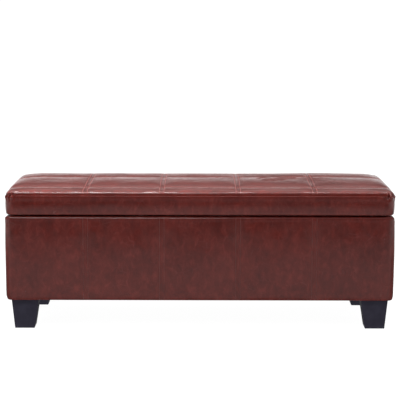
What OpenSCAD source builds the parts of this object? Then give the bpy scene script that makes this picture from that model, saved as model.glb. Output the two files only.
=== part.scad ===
// Lift-top storage bench: a boarded box on four tapered legs, padded and covered in
// leatherette, under a hinged upholstered lid that two slotted stays hold open.
// +X is the bench's right, +Y its rear, +Z up. The origin is on the floor under its middle.

/* [Bench] */
// Length, end to end
bench_length = 1270; // [1000:10:1400]
// Depth, front to rear
bench_depth = 457; // [400:1:500]
// Height of the box, from its underside to its rim
box_height = 280; // [260:5:340]
// Gap between the rim and the lid, which the hinge leaves fill
lid_gap = 3; // [3:0.5:4]
// Thickness of the upholstered lid
lid_height = 79; // [70:1:95]

/* [Leatherette and padding] */
// Thickness of the leatherette with its backing
cover_thickness = 1.5; // [1:0.1:2]
// Thickness of the foam sheets round the box
foam_thickness = 8; // [8:1:10]
// Radius of the upholstered upright corners of the box
box_corner_radius = 18; // [16:1:24]
// Radius of the box cover where it turns over the rim
rim_roll = 9; // [8:0.5:9]
// Radius of the box cover where it turns under the box
underside_roll = 8; // [6:1:10]
// Radius of the lid's upright corners
lid_corner_radius = 22; // [20:1:28]
// Radius of the lid's top edge
lid_top_roll = 18; // [12:1:19]
// Radius of the lid's lower edge
lid_lower_roll = 9; // [8:0.5:9]

/* [Boards] */
// Thickness of the box's upright panels
panel_thickness = 15; // [12:1:18]
// Thickness of the floor of the storage well
floor_thickness = 12; // [9:1:15]
// Thickness of the lid board
lid_board_thickness = 15; // [12:1:18]
// Height of the rails and blocks under the floor
rail_height = 20; // [18:1:25]
// Width of those rails
rail_width = 30; // [25:1:40]
// Side of the square corner blocks that take the leg bolts
block_side = 110; // [100:5:130]

/* [Legs] */
// Height of a leg with the dust cover above it
leg_height = 100; // [60:5:150]
// Side of a leg's square top
leg_top = 89; // [80:1:95]
// Side of a leg's square foot
leg_foot = 65; // [50:1:70]
// Distance from the bench's outer faces to a leg's top
leg_inset = 14; // [12:1:18]
// How far a leg's two outer faces slope in from top to foot
leg_outer_taper = 9; // [5:1:12]
// How much further in from the ends the rear legs stand than the front ones
rear_leg_shift = 12; // [0:1:15]

/* [Hinges] */
// Distance of the outer hinges from the middle one
hinge_spacing = 450; // [300:10:480]
// Length of each hinge
hinge_length = 76; // [60:2:90]
// Radius of the hinge knuckles
knuckle_radius = 2.75; // [2.5:0.05:2.75]
// Radius of the hinge pins
hinge_pin_radius = 1.25; // [1:0.05:1.3]
// Thickness of the hinge leaves
leaf_thickness = 1.2; // [1:0.1:1.2]

/* [Lid stays] */
// Distance from the hinge axis to a stay's two pivots
stay_radius = 130; // [100:5:135]
// How far the lid opens, in degrees
lid_opening = 95; // [80:1:100]
// Angle at the hinge axis between a stay's two pivots with the lid closed
stay_closed_angle = 14; // [12:1:18]
// Angle of the pivot on the lid below the hinge axis with the lid closed
stay_pivot_drop = 5; // [5:0.5:7]
// Width of a slotted stay arm
stay_arm_width = 14; // [12:1:16]

/* [Hidden] */
$fn = 48;

leather = [0.36, 0.16, 0.15];
foam = [0.93, 0.88, 0.72];
timber = [0.76, 0.62, 0.43];
plywood = [0.82, 0.70, 0.52];
black_cloth = [0.09, 0.09, 0.10];
black_plastic = [0.20, 0.19, 0.23];
steel = [0.72, 0.73, 0.75];
black_steel = [0.14, 0.14, 0.15];

arc_steps = 6;
clearance = 0.1;

half_length = bench_length / 2;
half_depth = bench_depth / 2;
box_bottom = leg_height;
rim_top = box_bottom + box_height;
lid_bottom = rim_top + lid_gap;
lid_top = lid_bottom + lid_height;

// The boards stand inside the cover and its foam.
padding = cover_thickness + foam_thickness;
board_half_length = half_length - padding;
board_half_depth = half_depth - padding;
well_half_length = board_half_length - panel_thickness;
well_half_depth = board_half_depth - panel_thickness;
board_bottom = box_bottom + cover_thickness;
board_top = rim_top - cover_thickness;
rail_top = board_bottom + rail_height;
floor_top = rail_top + floor_thickness;
fit_gap = 0.2;

// The cover turns under the box by its hem, and over the rim into the well by its fold.
hem_width = 30;
fold_depth = 54;
fold_bottom = board_top - fold_depth;
lining_thickness = 1.5;

dust_cover_thickness = 0.8;
dust_cover_margin = 13;
leg_top_z = box_bottom - dust_cover_thickness;
leg_x = half_length - leg_inset - leg_top / 2;
leg_y = half_depth - leg_inset - leg_top / 2;

bolt_radius = 4;
bolt_bottom = 60;
tee_nut_flange_radius = 11;
tee_nut_flange = 1.5;
tee_nut_barrel_radius = 5.2;
tee_nut_length = 12;

lid_hem_width = 45;
lid_board_margin = 8.5;
lid_board_top = lid_bottom + cover_thickness + lid_board_thickness;
lid_lining_thickness = 0.8;
lid_lining_half_length = well_half_length - 8.5;
lid_lining_half_depth = well_half_depth - 8;

// The hinge axis runs along X, in the notch between the rolled rear edges.
hinge_y = half_depth - 3.5;
hinge_z = rim_top + lid_gap / 2;
hinge_xs = [-hinge_spacing, 0, hinge_spacing];
knuckles = 5;
knuckle_gap = 0.3;
knuckle_pitch = hinge_length / knuckles;
leaf_inner_y = well_half_depth + 0.5;
leaf_outer_y = hinge_y - knuckle_radius - 0.35;
leaf_screw_y = well_half_depth + panel_thickness / 2;
leaf_screw_xs = [-28, 0, 28];
small_screw_radius = 1.5;
small_head_radius = 3;

panel_screw_radius = 2;
panel_screw_head = 4;
panel_screw_length = 45;
panel_screw_zs = [board_bottom + 45, (board_bottom + board_top) / 2, board_top - 45];

// Both pivots of a stay lie on one circle round the hinge axis, so a stay arm always
// turns half as far as the lid.
function on_stay_circle(angle) = [hinge_y - stay_radius * cos(angle), hinge_z + stay_radius * sin(angle)];
stay_pivot = on_stay_circle(-stay_pivot_drop);
stay_peg = on_stay_circle(-stay_pivot_drop - stay_closed_angle);
stay_lean = stay_pivot_drop + stay_closed_angle / 2;
slot_start = 2 * stay_radius * sin(stay_closed_angle / 2);
slot_end = 2 * stay_radius * sin((stay_closed_angle + lid_opening) / 2);
slot_half_width = 3.2;
peg_radius = 3;
peg_head_radius = 6.5;
rivet_radius = 2.5;
rivet_head_radius = 5;
// Where each layer of a stay ends, counted inwards from the face of the end lining.
end_face_x = well_half_length - lining_thickness;
peg_plate_depth = 2;
ear_layer = [2.1, 4.1];
arm_layer = [4.5, 6.5];
head_layer = [6.8, 9];

function arc(centre, radius, from, to) =
    [for (i = [0 : arc_steps]) let (a = from + (to - from) * i / arc_steps)
        centre + radius * [cos(a), sin(a)]];

// Outline of a block's edge: x runs from a corner's axis out to its face, y is the height.
function edge_outline(corner, bottom, top, bottom_roll, top_roll) = concat(
    [[0, bottom]],
    bottom_roll == 0 ? [[corner, bottom]]
        : arc([corner - bottom_roll, bottom + bottom_roll], bottom_roll, -90, 0),
    top_roll == 0 ? [[corner, top]]
        : arc([corner - top_roll, top - top_roll], top_roll, 0, 90),
    [[0, top]]);

// Block with round upright corners and rolled lower and upper edges.
module soft_block(half_l, half_w, corner, bottom, top, bottom_roll = 0, top_roll = 0) {
    flat_l = half_l - corner;
    flat_w = half_w - corner;
    outline = edge_outline(corner, bottom, top, bottom_roll, top_roll);
    translate([-flat_l, -flat_w, bottom]) cube([2 * flat_l, 2 * flat_w, top - bottom]);
    for (turn = [0, 180]) rotate([0, 0, turn]) {
        translate([flat_l, flat_w, 0]) rotate([90, 0, 0])
            linear_extrude(2 * flat_w) polygon(outline);
        translate([flat_l, flat_w, 0]) rotate_extrude(angle = 90) polygon(outline);
        translate([-flat_l, flat_w, 0]) rotate([90, 0, 90])
            linear_extrude(2 * flat_l) polygon(outline);
        translate([-flat_l, flat_w, 0]) rotate([0, 0, 90])
            rotate_extrude(angle = 90) polygon(outline);
    }
}

// Box given by its lowest and highest corners.
module block(low, high) {
    translate(low) cube(high - low);
}

// Countersunk screw, head face at the origin, pointing down. grow widens it into its hole.
module screw(length, radius, head_radius, grow = 0) {
    head_height = head_radius - radius;
    translate([0, 0, -length]) cylinder(r = radius + grow, h = length);
    translate([0, 0, -head_height])
        cylinder(r1 = radius + grow, r2 = head_radius + grow, h = head_height);
}

module at_corners() {
    for (sx = [-1, 1], sy = [-1, 1]) at_corner(sx, sy) children();
}

// Moves a part made at the right rear corner to the corner that the signs name.
module at_corner(sx, sy) {
    mirror([sx < 0 ? 1 : 0, 0, 0]) mirror([0, sy < 0 ? 1 : 0, 0]) children();
}

// The same for what belongs to a leg, where the part is drawn for a leg at the origin.
module at_leg(sx, sy) {
    at_corner(sx, sy) translate([sy > 0 ? leg_x - rear_leg_shift : leg_x, leg_y, 0]) children();
}

module at_legs() {
    for (sx = [-1, 1], sy = [-1, 1]) at_leg(sx, sy) children();
}

module panel_screws_at(grow = 0) {
    at_corners() for (z = panel_screw_zs)
        translate([well_half_length + panel_thickness / 2, board_half_depth, z])
            rotate([-90, 0, 0]) screw(panel_screw_length, panel_screw_radius, panel_screw_head, grow);
}

module hinge_screws_at(grow = 0) {
    for (x = hinge_xs, dx = leaf_screw_xs)
        translate([x + dx, leaf_screw_y, rim_top + leaf_thickness])
            screw(20, small_screw_radius, small_head_radius, grow);
}

module lid_hinge_screws_at(grow = 0) {
    for (x = hinge_xs, dx = leaf_screw_xs)
        translate([x + dx, leaf_screw_y, lid_bottom - leaf_thickness]) mirror([0, 0, 1])
            screw(13, small_screw_radius, small_head_radius, grow);
}

module peg_screws_at(grow = 0) {
    for (side = [-1, 1], dy = [-18, 18])
        at_corner(side, 1)
            translate([end_face_x - peg_plate_depth, stay_peg[0] + dy, stay_peg[1]])
                rotate([0, -90, 0]) screw(14, small_screw_radius, small_head_radius, grow);
}

bracket_length = 44;
bracket_thickness = 2;
bracket_bottom = lid_bottom - lid_lining_thickness - bracket_thickness;
ear_x = [end_face_x - ear_layer[1], end_face_x - ear_layer[0]];
bracket_screw_xs = [ear_x[0] - 12, ear_x[0] - 32];
module bracket_screws_at(grow = 0) {
    for (side = [-1, 1], x = bracket_screw_xs)
        at_corner(side, 1) translate([x, stay_pivot[0], bracket_bottom]) mirror([0, 0, 1])
            screw(14, small_screw_radius, small_head_radius, grow);
}

module long_panel(side) {
    inner = side * well_half_depth;
    outer = side * board_half_depth;
    color(plywood) difference() {
        intersection() {
            block([-board_half_length, min(inner, outer), board_bottom],
                  [board_half_length, max(inner, outer), board_top]);
            padding_room();
        }
        panel_screws_at(clearance);
        if (side > 0) hinge_screws_at(clearance);
    }
}

module end_panel(side) {
    inner = side * well_half_length;
    outer = side * board_half_length;
    color(plywood) difference() {
        block([min(inner, outer), -well_half_depth, board_bottom],
              [max(inner, outer), well_half_depth, board_top]);
        panel_screws_at(clearance);
        peg_screws_at(clearance);
    }
}

module panel_screws() {
    color(steel) panel_screws_at();
}

module floor_panel() {
    color(plywood) block([-well_half_length + fit_gap, -well_half_depth + fit_gap, rail_top],
                         [well_half_length - fit_gap, well_half_depth - fit_gap, floor_top]);
}

module base_rails() {
    rail_x = well_half_length - block_side;
    rail_y = well_half_depth - block_side;
    color(timber) for (turn = [0, 180]) rotate([0, 0, turn]) {
        block([-rail_x, well_half_depth - rail_width, board_bottom], [rail_x, well_half_depth, rail_top]);
        block([well_half_length - rail_width, -rail_y, board_bottom], [well_half_length, rail_y, rail_top]);
    }
}

module base_cross_rails() {
    reach = well_half_depth - rail_width;
    color(timber) for (x = [-1, 0, 1] * well_half_length * 0.4)
        block([x - rail_width / 2, -reach, board_bottom], [x + rail_width / 2, reach, rail_top]);
}

module leg_mount_blocks() {
    color(timber) difference() {
        at_corners() block([well_half_length - block_side, well_half_depth - block_side, board_bottom],
                           [well_half_length, well_half_depth, rail_top]);
        at_legs() translate([0, 0, board_bottom - 1])
            cylinder(r = tee_nut_barrel_radius + clearance, h = rail_height + 2);
        at_legs() translate([0, 0, rail_top - tee_nut_flange])
            cylinder(r = tee_nut_flange_radius + clearance, h = tee_nut_flange + 1);
    }
}

module leg_tee_nuts() {
    color(steel) at_legs() translate([0, 0, rail_top]) difference() {
        union() {
            translate([0, 0, -tee_nut_flange]) cylinder(r = tee_nut_flange_radius, h = tee_nut_flange);
            translate([0, 0, -tee_nut_length]) cylinder(r = tee_nut_barrel_radius, h = tee_nut_length);
        }
        translate([0, 0, -tee_nut_length - 1])
            cylinder(r = bolt_radius + clearance, h = tee_nut_length + 2);
    }
}

module leg_bolts() {
    color(steel) at_legs() translate([0, 0, bolt_bottom])
        cylinder(r = bolt_radius, h = rail_top - tee_nut_flange - bolt_bottom);
}

// Tapered leg of the right rear corner. Its two outer faces slope less than its inner ones.
module leg_body() {
    top = -[leg_top, leg_top] / 2;
    foot = top + [1, 1] * (leg_top - leg_outer_taper - leg_foot);
    square_at = [[0, 0], [1, 0], [1, 1], [0, 1]];
    points = concat([for (p = square_at) [each (foot + p * leg_foot), 0]],
                    [for (p = square_at) [each (top + p * leg_top), leg_top_z]]);
    sides = [for (i = [0 : 3]) [i, i + 4, (i + 1) % 4 + 4, (i + 1) % 4]];
    polyhedron(points, concat([[0, 1, 2, 3], [7, 6, 5, 4]], sides));
}

module leg(sx, sy) {
    color(black_plastic) at_leg(sx, sy) difference() {
        leg_body();
        translate([0, 0, bolt_bottom - fit_gap]) cylinder(r = bolt_radius + clearance, h = leg_height);
    }
}

// Foam sheet on the outside of one panel, with its ends cut to the cover's round corners.
module foam_sheet(half_board, half_flat, face) {
    linear_extrude(board_top - board_bottom)
        polygon([[-half_board, face], [-half_flat, face + foam_thickness],
                 [half_flat, face + foam_thickness], [half_board, face]]);
}

module long_foam(turn) {
    color(foam) translate([0, 0, board_bottom]) rotate([0, 0, turn])
        intersection() {
            foam_sheet(board_half_length, half_length - box_corner_radius, board_half_depth);
            padding_room(-board_bottom);
        }
}

module end_foam(turn) {
    color(foam) translate([0, 0, board_bottom]) rotate([0, 0, turn])
        intersection() {
            foam_sheet(board_half_depth, half_depth - box_corner_radius, board_half_length);
            rotate([0, 0, 90]) padding_room(-board_bottom);
        }
}

// The space inside the box's cover.
module padding_room(lift = 0) {
    translate([0, 0, lift])
        soft_block(half_length - cover_thickness, half_depth - cover_thickness,
                   box_corner_radius - cover_thickness, board_bottom, board_top,
                   underside_roll - cover_thickness, rim_roll - cover_thickness);
}

module body_cover() {
    fold_half_length = well_half_length - cover_thickness;
    fold_half_depth = well_half_depth - cover_thickness;
    color(leather) difference() {
        union() {
            difference() {
                soft_block(half_length, half_depth, box_corner_radius, box_bottom, rim_top,
                           underside_roll, rim_roll);
                padding_room();
                block([-half_length + hem_width, -half_depth + hem_width, box_bottom - 1],
                      [half_length - hem_width, half_depth - hem_width, board_bottom + 1]);
            }
            block([-well_half_length, -well_half_depth, fold_bottom],
                  [well_half_length, well_half_depth, board_top + cover_thickness / 2]);
        }
        block([-fold_half_length, -fold_half_depth, fold_bottom - 1],
              [fold_half_length, fold_half_depth, rim_top + 1]);
        hinge_screws_at(clearance);
        peg_screws_at(clearance);
    }
}

module well_lining() {
    half_l = well_half_length - fit_gap;
    half_d = well_half_depth - fit_gap;
    wall = lining_thickness - fit_gap;
    color(black_cloth) difference() {
        block([-half_l, -half_d, floor_top], [half_l, half_d, fold_bottom]);
        block([wall - half_l, wall - half_d, floor_top - 1], [half_l - wall, half_d - wall, fold_bottom + 1]);
    }
}

module floor_lining() {
    half_l = well_half_length - lining_thickness - fit_gap;
    half_d = well_half_depth - lining_thickness - fit_gap;
    color(black_cloth) block([-half_l, -half_d, floor_top], [half_l, half_d, floor_top + 1.2]);
}

module dust_cover() {
    half_l = half_length - dust_cover_margin;
    half_d = half_depth - dust_cover_margin;
    color(black_cloth) difference() {
        block([-half_l, -half_d, leg_top_z], [half_l, half_d, box_bottom]);
        at_legs() translate([0, 0, leg_top_z - 1])
            cylinder(r = bolt_radius + 1, h = dust_cover_thickness + 2);
    }
}

// Staple crowns round the dust cover, none of them under a leg.
module dust_cover_staples() {
    staple = [10, 1.2, 0.6];
    long_y = half_depth - dust_cover_margin - 6;
    end_x = half_length - dust_cover_margin - 6;
    reach_x = leg_x - rear_leg_shift - leg_top / 2 - 20;
    reach_y = leg_y - leg_top / 2 - 20;
    color(steel) for (side = [-1, 1]) {
        for (i = [-7 : 7])
            translate([i * reach_x / 7, side * long_y, leg_top_z - staple.z / 2]) cube(staple, center = true);
        for (i = [-1, 0, 1])
            translate([side * end_x, i * reach_y, leg_top_z - staple.z / 2]) rotate([0, 0, 90])
                cube(staple, center = true);
    }
}

module rim_bumpers() {
    color(black_cloth) for (side = [-1, 1])
        translate([side * (half_length - 75), padding / 2 - half_depth + 10, rim_top])
            cylinder(r = 5, h = lid_gap - 0.3);
}

// The knuckles with these indices, each from the hinge's left end.
module knuckle_row(indices) {
    for (i = indices)
        translate([-hinge_length / 2 + i * knuckle_pitch + knuckle_gap / 2, 0, 0]) rotate([0, 90, 0])
            cylinder(r = knuckle_radius, h = knuckle_pitch - knuckle_gap);
}

// One leaf with its knuckles, where the plate lies between two heights round the axis.
module hinge_leaf(indices, low, high) {
    difference() {
        union() {
            block([-hinge_length / 2, leaf_inner_y, low], [hinge_length / 2, leaf_outer_y, high]);
            translate([0, hinge_y, hinge_z]) knuckle_row(indices);
            for (i = indices)
                block([-hinge_length / 2 + i * knuckle_pitch + knuckle_gap / 2, leaf_outer_y - 1, low],
                      [-hinge_length / 2 + (i + 1) * knuckle_pitch - knuckle_gap / 2, hinge_y, high]);
        }
        translate([-hinge_length / 2 - 1, hinge_y, hinge_z]) rotate([0, 90, 0])
            cylinder(r = hinge_pin_radius + 0.05, h = hinge_length + 2);
    }
}

module hinge_box_leaves() {
    color(steel) difference() {
        for (x = hinge_xs) translate([x, 0, 0]) hinge_leaf([0, 2, 4], rim_top, rim_top + leaf_thickness);
        hinge_screws_at(clearance / 2);
    }
}

module hinge_lid_leaves() {
    color(steel) difference() {
        for (x = hinge_xs) translate([x, 0, 0]) hinge_leaf([1, 3], lid_bottom - leaf_thickness, lid_bottom);
        lid_hinge_screws_at(clearance / 2);
    }
}

module hinge_pins() {
    color(steel) for (x = hinge_xs)
        translate([x - hinge_length / 2, hinge_y, hinge_z]) rotate([0, 90, 0])
            cylinder(r = hinge_pin_radius, h = hinge_length);
}

module hinge_box_screws() {
    color(steel) hinge_screws_at();
}

module hinge_lid_screws() {
    color(steel) lid_hinge_screws_at();
}

// Cylinder along X between two layers of a stay, round a point given as [y, z].
module stay_round(centre, radius, layer) {
    translate([end_face_x - layer[1], centre[0], centre[1]]) rotate([0, 90, 0])
        cylinder(r = radius, h = layer[1] - layer[0]);
}

// Plate on the end lining with the headed peg that a stay arm slides on.
module stay_peg(side) {
    color(black_steel) at_corner(side, 1) difference() {
        union() {
            block([end_face_x - peg_plate_depth, stay_peg[0] - 27, stay_peg[1] - 11],
                  [end_face_x, stay_peg[0] + 27, stay_peg[1] + 11]);
            stay_round(stay_peg, 6, [0.5, arm_layer[0] - 0.3]);
            stay_round(stay_peg, peg_radius, [0.5, head_layer[1]]);
            stay_round(stay_peg, peg_head_radius, head_layer);
        }
        for (dy = [-18, 18]) translate([end_face_x - peg_plate_depth, stay_peg[0] + dy, stay_peg[1]])
            rotate([0, -90, 0]) screw(14, small_screw_radius, small_head_radius, clearance / 2);
    }
}

module stay_peg_screws() {
    color(steel) peg_screws_at();
}

// Angle bracket under the lid, whose ear takes a stay arm's rivet.
module lid_bracket(side) {
    ear_radius = 8;
    color(black_steel) at_corner(side, 1) difference() {
        union() {
            block([ear_x[1] - bracket_length, stay_pivot[0] - 20, bracket_bottom],
                  [ear_x[1], stay_pivot[0] + 20, bracket_bottom + bracket_thickness]);
            block([ear_x[0], stay_pivot[0] - ear_radius, stay_pivot[1]],
                  [ear_x[1], stay_pivot[0] + ear_radius, bracket_bottom + bracket_thickness / 2]);
            stay_round(stay_pivot, ear_radius, ear_layer);
        }
        stay_round(stay_pivot, rivet_radius, [0, head_layer[1]]);
        for (x = bracket_screw_xs) translate([x, stay_pivot[0], bracket_bottom]) mirror([0, 0, 1])
            screw(14, small_screw_radius, small_head_radius, clearance / 2);
    }
}

module lid_bracket_screws() {
    color(steel) bracket_screws_at();
}

module stay_rivet(side) {
    color(steel) at_corner(side, 1) {
        stay_round(stay_pivot, rivet_radius, [ear_layer[0], head_layer[0]]);
        stay_round(stay_pivot, rivet_head_radius, [head_layer[0], head_layer[0] + 1.4]);
    }
}

// Slotted arm that hangs from its rivet into the well, turned to pass through the peg.
module stay_arm(side) {
    half_width = stay_arm_width / 2;
    thickness = arm_layer[1] - arm_layer[0];
    color(black_steel) at_corner(side, 1)
        translate([end_face_x - arm_layer[1], stay_pivot[0], stay_pivot[1]]) rotate([stay_lean, 0, 0])
            difference() {
                arm_bar(half_width, 0, slot_end + 3, thickness, 0);
                arm_bar(slot_half_width, slot_start - 0.5, slot_end + 0.5, thickness, 1);
                rotate([0, 90, 0]) translate([0, 0, -1])
                    cylinder(r = rivet_radius + clearance, h = thickness + 2);
            }
}

// Bar with round ends that hangs down from one distance to another, grown past its faces.
module arm_bar(half_width, from, to, thickness, grow) {
    translate([-grow, -half_width, -to]) cube([thickness + 2 * grow, 2 * half_width, to - from]);
    for (z = [-from, -to]) translate([-grow, 0, z]) rotate([0, 90, 0])
        cylinder(r = half_width, h = thickness + 2 * grow);
}

// The space inside the lid's cover.
module lid_room() {
    soft_block(half_length - cover_thickness, half_depth - cover_thickness,
               lid_corner_radius - cover_thickness, lid_bottom + cover_thickness,
               lid_top - cover_thickness, lid_lower_roll - cover_thickness,
               lid_top_roll - cover_thickness);
}

lid_board_half = [half_length - cover_thickness - lid_board_margin,
                  half_depth - cover_thickness - lid_board_margin];

module lid_board() {
    color(plywood) difference() {
        intersection() {
            block([each -lid_board_half, lid_bottom + cover_thickness], [each lid_board_half, lid_board_top]);
            lid_room();
        }
        lid_hinge_screws_at(clearance);
        bracket_screws_at(clearance);
    }
}

module lid_foam() {
    color(foam) intersection() {
        lid_room();
        block([-half_length, -half_depth, lid_board_top], [half_length, half_depth, lid_top]);
    }
}

// Strips round the lid board's four edges.
module lid_edge_foam() {
    color(foam) intersection() {
        lid_room();
        for (turn = [0, 180]) rotate([0, 0, turn]) {
            block([-half_length, lid_board_half.y, lid_bottom], [half_length, half_depth, lid_board_top]);
            block([lid_board_half.x, -lid_board_half.y + fit_gap, lid_bottom],
                  [half_length, lid_board_half.y - fit_gap, lid_board_top]);
        }
    }
}

module lid_cover() {
    color(leather) difference() {
        soft_block(half_length, half_depth, lid_corner_radius, lid_bottom, lid_top,
                   lid_lower_roll, lid_top_roll);
        lid_room();
        block([-half_length + lid_hem_width, -half_depth + lid_hem_width, lid_bottom - 1],
              [half_length - lid_hem_width, half_depth - lid_hem_width, lid_bottom + cover_thickness + 1]);
        lid_hinge_screws_at(clearance);
        bracket_screws_at(clearance);
    }
}

module lid_lining() {
    color(black_cloth) difference() {
        block([-lid_lining_half_length, -lid_lining_half_depth, lid_bottom - lid_lining_thickness],
              [lid_lining_half_length, lid_lining_half_depth, lid_bottom]);
        bracket_screws_at(clearance);
    }
}

long_panel(-1);  // front_panel
long_panel(1);  // rear_panel
end_panel(-1);  // left_end_panel
end_panel(1);  // right_end_panel
floor_panel();
base_rails();
base_cross_rails();
leg_mount_blocks();
panel_screws();
long_foam(180);  // front_foam
long_foam(0);  // rear_foam
end_foam(90);  // left_end_foam
end_foam(-90);  // right_end_foam
body_cover();
well_lining();
floor_lining();
dust_cover();
dust_cover_staples();
leg(-1, -1);  // front_left_leg
leg(1, -1);  // front_right_leg
leg(-1, 1);  // rear_left_leg
leg(1, 1);  // rear_right_leg
leg_tee_nuts();
leg_bolts();
rim_bumpers();
hinge_box_leaves();
hinge_pins();
hinge_box_screws();
stay_peg(-1);  // left_stay_peg
stay_peg(1);  // right_stay_peg
stay_peg_screws();
lid_board();
lid_foam();
lid_edge_foam();
lid_cover();
lid_lining();
hinge_lid_leaves();
hinge_lid_screws();
lid_bracket(-1);  // left_lid_bracket
lid_bracket(1);  // right_lid_bracket
lid_bracket_screws();
stay_rivet(-1);  // left_stay_rivet
stay_rivet(1);  // right_stay_rivet
stay_arm(-1);  // left_stay_arm
stay_arm(1);  // right_stay_arm
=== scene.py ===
"""Looks for the lift-top storage bench: leatherette cushion and cover, stitching, legs and linings.

Everything is in metres in the CAD frame: +X right, +Y rear, +Z up, floor at z = 0.
"""
import math

import bmesh
import bpy
import numpy as np
from mathutils import Matrix, Vector
from mathutils.bvhtree import BVHTree


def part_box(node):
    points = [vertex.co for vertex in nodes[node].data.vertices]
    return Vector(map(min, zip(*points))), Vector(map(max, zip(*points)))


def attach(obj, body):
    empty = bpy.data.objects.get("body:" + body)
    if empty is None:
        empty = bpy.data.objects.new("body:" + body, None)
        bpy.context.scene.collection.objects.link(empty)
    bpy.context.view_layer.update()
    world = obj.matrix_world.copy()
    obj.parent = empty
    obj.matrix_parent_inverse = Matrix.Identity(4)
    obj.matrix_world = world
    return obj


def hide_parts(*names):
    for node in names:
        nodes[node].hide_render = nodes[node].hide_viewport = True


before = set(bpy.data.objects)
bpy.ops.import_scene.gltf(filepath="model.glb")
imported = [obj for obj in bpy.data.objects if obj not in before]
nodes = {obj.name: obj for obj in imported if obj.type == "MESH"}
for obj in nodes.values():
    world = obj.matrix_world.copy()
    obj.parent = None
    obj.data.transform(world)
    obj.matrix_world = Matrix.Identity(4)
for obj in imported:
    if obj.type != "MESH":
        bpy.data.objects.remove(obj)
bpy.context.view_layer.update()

MM = 0.001


# ---------------------------------------------------------------- sizes taken from the frame

box_low, box_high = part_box("body_cover")
lid_low, lid_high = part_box("lid_cover")
well_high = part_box("well_lining")[1]
HALF_L = lid_high.x
HALF_D = lid_high.y

# Four seams across the length and two along it divide the top into five by three panels.
PANEL_LENGTH = 0.984 * 2 * HALF_L / 5
COLUMN_SEAMS = [k * PANEL_LENGTH for k in (-1.5, -0.5, 0.5, 1.5)]
ROW_SEAMS = [-HALF_D + 96 * MM, HALF_D - 130 * MM]

# Mesh lines on and beside each seam, and the distance of a stitch row from its seam.
SEAM_LADDER = [s * d * MM for s in (-1, 1) for d in (2.5, 5.2, 7.8, 10.5, 15)] + [0.0]
STITCH_ROW = 7.5 * MM


# ---------------------------------------------------------------- shape helpers

def smooth(t):
    """Eased step from 0 to 1."""
    t = np.clip(t, 0.0, 1.0)
    return t * t * (3 - 2 * t)


def bell(d, width):
    """1 at distance zero, fading to nothing over about twice the width."""
    return np.exp(-(d / width) ** 2)


def graded(low, high, step, seams=()):
    """Positions from low to high about a step apart, with the seams' own finer ladder."""
    marks = {round(low, 6), round(high, 6)}
    for seam in seams:
        marks.update(round(seam + d, 6) for d in SEAM_LADDER if low < seam + d < high)
    marks = sorted(marks)
    found = []
    for a, b in zip(marks, marks[1:]):
        parts = max(1, math.ceil((b - a) / step - 1e-6))
        found += [a + (b - a) * k / parts for k in range(parts)]
    return found + [marks[-1]]


def perimeter(xs, ys, corner_steps):
    """Columns round a rounded rectangle: (axis x, axis y, normal x, normal y), counter-clockwise
    from the front left corner's end. xs and ys are the stations along its straight sides."""
    columns = []
    sides = [
        ([(x, ys[0]) for x in xs], (0.0, -1.0)),
        ([(xs[-1], y) for y in ys], (1.0, 0.0)),
        ([(x, ys[-1]) for x in reversed(xs)], (0.0, 1.0)),
        ([(xs[0], y) for y in reversed(ys)], (-1.0, 0.0)),
    ]
    for points, (nx, ny) in sides:
        columns += [(x, y, nx, ny) for x, y in points]
        cx, cy = points[-1]
        start = math.atan2(ny, nx)
        for k in range(1, corner_steps):
            a = start + math.pi / 2 * k / corner_steps
            columns.append((cx, cy, math.cos(a), math.sin(a)))
    return np.array(columns)


def ring(columns, corner, inset, z):
    """One ring of points at a distance inside the outline, at height z."""
    axis, normal = columns[:, :2], columns[:, 2:]
    if inset <= corner:
        plan = axis + (corner - inset) * normal
    else:
        reach = np.abs(axis).max(0)
        plan = axis * (reach + corner - inset) / reach
    return np.column_stack([plan, np.full(len(plan), z)])


def quarter(centre, a, b, start, steps):
    """Points of a quarter ellipse in (inset, z) from an angle, counter-clockwise, ends included."""
    angles = [math.radians(start + 90 * k / steps) for k in range(steps + 1)]
    return [(centre[0] + a * math.cos(t), centre[1] + b * math.sin(t)) for t in angles]


def new_object(name, data):
    """An object that is linked into the scene."""
    made = bpy.data.objects.new(name, data)
    bpy.context.scene.collection.objects.link(made)
    return made


def smooth_shaded(mesh):
    mesh.polygons.foreach_set("use_smooth", [True] * len(mesh.polygons))


def new_piece(name, points, faces, material):
    mesh = bpy.data.meshes.new(name)
    mesh.from_pydata([tuple(p) for p in points], [], faces)
    mesh.validate()
    piece = new_object(name, mesh)
    mesh.materials.append(material)
    smooth_shaded(mesh)
    return piece


def tidy_mesh(piece, merge=0.01 * MM):
    """Joins points that meet and turns every face outward."""
    bm = bmesh.new()
    bm.from_mesh(piece.data)
    bmesh.ops.remove_doubles(bm, verts=bm.verts, dist=merge)
    bmesh.ops.dissolve_degenerate(bm, edges=bm.edges, dist=merge / 10)
    bmesh.ops.recalc_face_normals(bm, faces=bm.faces)
    bm.to_mesh(piece.data)
    bm.free()
    smooth_shaded(piece.data)


def vectors(piece, kind):
    flat = np.zeros(len(piece.data.vertices) * 3)
    piece.data.vertices.foreach_get(kind, flat)
    return flat.reshape(-1, 3)


def coords(piece):
    return vectors(piece, "co")


def normals(piece):
    return vectors(piece, "normal")


def set_coords(piece, points):
    piece.data.vertices.foreach_set("co", np.asarray(points, dtype=float).ravel())
    piece.data.update()


def apply_modifiers(piece):
    """Puts the piece's evaluated mesh in place of its modifiers."""
    graph = bpy.context.evaluated_depsgraph_get()
    made = bpy.data.meshes.new_from_object(piece.evaluated_get(graph))
    piece.modifiers.clear()
    piece.data = made


HASH_PRIMES = np.array((73856093, 19349663, 83492791))
HASH_TABLE = 4096


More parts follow.
